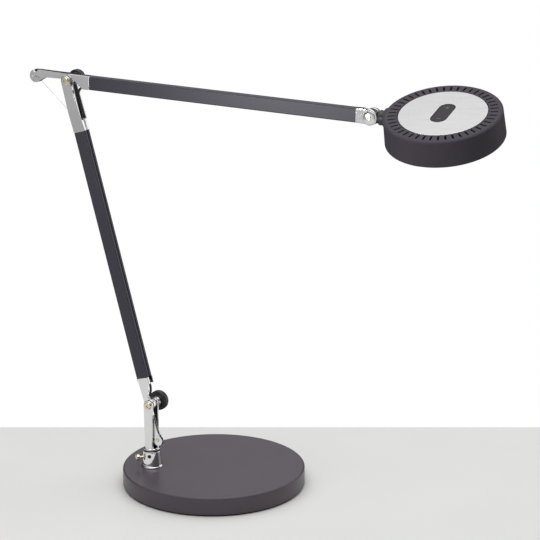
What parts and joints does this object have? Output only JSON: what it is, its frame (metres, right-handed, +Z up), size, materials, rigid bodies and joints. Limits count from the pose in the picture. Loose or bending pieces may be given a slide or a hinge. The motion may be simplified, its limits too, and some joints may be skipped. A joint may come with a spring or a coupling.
{
  "type": "led table lamp",
  "caption": "Table lamp with a round weighted foot, a swivelling post, two hinged balanced arms with friction knobs, and a flat round slotted LED head with a rocker pad.",
  "frame": {"origin": "centre of the foot's flat underside", "axes": "+Z up; -Y towards the viewer of the picture; +X to the viewer's right, close to the line from the post to the foot's centre"},
  "size_m": [0.4878, 0.3232, 0.4638],
  "materials": {
    "base_paint": "charcoal powder coat, fine satin",
    "iron": "raw casting, hidden",
    "pad_rubber": "matt foam rubber",
    "steel": "zinc plated",
    "black_plastic": "black moulded, satin",
    "chrome": "polished chrome plate on a zinc casting",
    "nylon": "natural nylon",
    "lead_rubber": "black round lead, smooth jacket",
    "brass": "pale brass, lightly polished",
    "arm_coat": "charcoal coated extrusion, satin",
    "head_plastic": "charcoal moulded, satin",
    "disc_aluminium": "brushed, clear anodised",
    "sink_aluminium": "raw die casting",
    "board": "white solder mask",
    "led": "yellow phosphor",
    "white_plastic": "white moulded",
    "opal": "opal acrylic",
    "pad_plastic": "charcoal moulded, fine grain"
  },
  "bodies": {
    "base": {"base_cover": "base_paint", "base_weight": "iron", "base_pad": "pad_rubber", "base_screws": "steel", "dc_inlet": "black_plastic", "foot_collar": "chrome", "collar_grub_screw": "steel", "foot_nut": "steel", "swivel_bush": "black_plastic", "base_lead": "lead_rubber"},
    "foot_screw": {"foot_screw": "brass"},
    "post": {"post_fork": "chrome", "swivel_clip": "steel", "knee_bolt": "brass", "knee_washers": "nylon", "knee_boss": "chrome", "post_lead": "lead_rubber", "knee_spring": "steel", "knee_wire": "steel", "knee_lead": "lead_rubber"},
    "knee_knob": {"knee_knob": "black_plastic"},
    "lower_arm": {"lower_lever": "chrome", "knee_pin": "brass", "lower_tube": "arm_coat", "lower_fork": "chrome", "spring_anchor": "nylon", "arm_spring": "steel", "elbow_wire": "steel", "elbow_bolt": "brass", "elbow_washers": "nylon", "elbow_boss": "chrome", "lower_lead": "lead_rubber", "elbow_lead": "lead_rubber"},
    "elbow_knob": {"elbow_knob": "black_plastic"},
    "upper_arm": {"upper_lever": "chrome", "elbow_pin": "brass", "upper_tube": "arm_coat", "upper_clevis": "chrome", "head_washer": "chrome", "head_screw": "brass", "head_nut": "steel", "upper_lead": "lead_rubber"},
    "head_link": {"head_neck": "black_plastic", "neck_clip": "steel"},
    "head": {"head_shell": "head_plastic", "trim_disc": "disc_aluminium", "switch_block": "black_plastic", "heat_sink": "sink_aluminium", "led_board": "board", "led_chips": "led", "reflector": "white_plastic", "diffuser": "opal", "bezel": "head_plastic", "head_lead": "lead_rubber"},
    "switch": {"switch_pad": "pad_plastic"}
  },
  "joints": [
    {"name": "base_swivel", "type": "hinge", "parent": "base", "child": "post", "pos_m": [-0.0679, -0.0021, 0], "axis": [0, 0, 1], "range_deg": [-165, 165]},
    {"name": "foot_screw_turn", "type": "hinge", "parent": "base", "child": "foot_screw", "pos_m": [-0.0679, -0.0021, 0.0315], "axis": [-0.9613, -0.2756, 0], "range_deg": [0, 180]},
    {"name": "knee_tilt", "type": "hinge", "parent": "post", "child": "lower_arm", "pos_m": [-0.0679, -0.0021, 0.0917], "axis": [0.4772, 0.8788, 0], "range_deg": [-40, 35], "deforming": ["knee_lead", "knee_wire"]},
    {"name": "knee_knob_turn", "type": "hinge", "parent": "post", "child": "knee_knob", "pos_m": [-0.0679, -0.0021, 0.0917], "axis": [0.4772, 0.8788, 0], "range_deg": [0, 180]},
    {"name": "elbow_tilt", "type": "hinge", "parent": "lower_arm", "child": "upper_arm", "pos_m": [-0.15309, 0.04415, 0.441], "axis": [0.4772, 0.8788, 0], "range_deg": [-77, 28], "deforming": ["elbow_lead", "elbow_wire"]},
    {"name": "elbow_knob_turn", "type": "hinge", "parent": "lower_arm", "child": "elbow_knob", "pos_m": [-0.15309, 0.04415, 0.441], "axis": [0.4772, 0.8788, 0], "range_deg": [0, 180]},
    {"name": "head_tilt", "type": "hinge", "parent": "upper_arm", "child": "head_link", "pos_m": [0.16218, -0.12702, 0.43449], "axis": [0.4772, 0.8788, 0], "range_deg": [-60, 90]},
    {"name": "head_roll", "type": "hinge", "parent": "head_link", "child": "head", "pos_m": [0.16218, -0.12702, 0.43449], "axis": [0.8787, -0.4771, -0.0182], "range_deg": [-108.5, 71.5]},
    {"name": "switch_rock", "type": "hinge", "parent": "head", "child": "switch", "pos_m": [0.22868, -0.16736, 0.44417], "axis": [0.8787, -0.4771, -0.0182], "range_deg": [-3, 3], "stiffness_Nm_per_rad": 0.6}
  ]
}
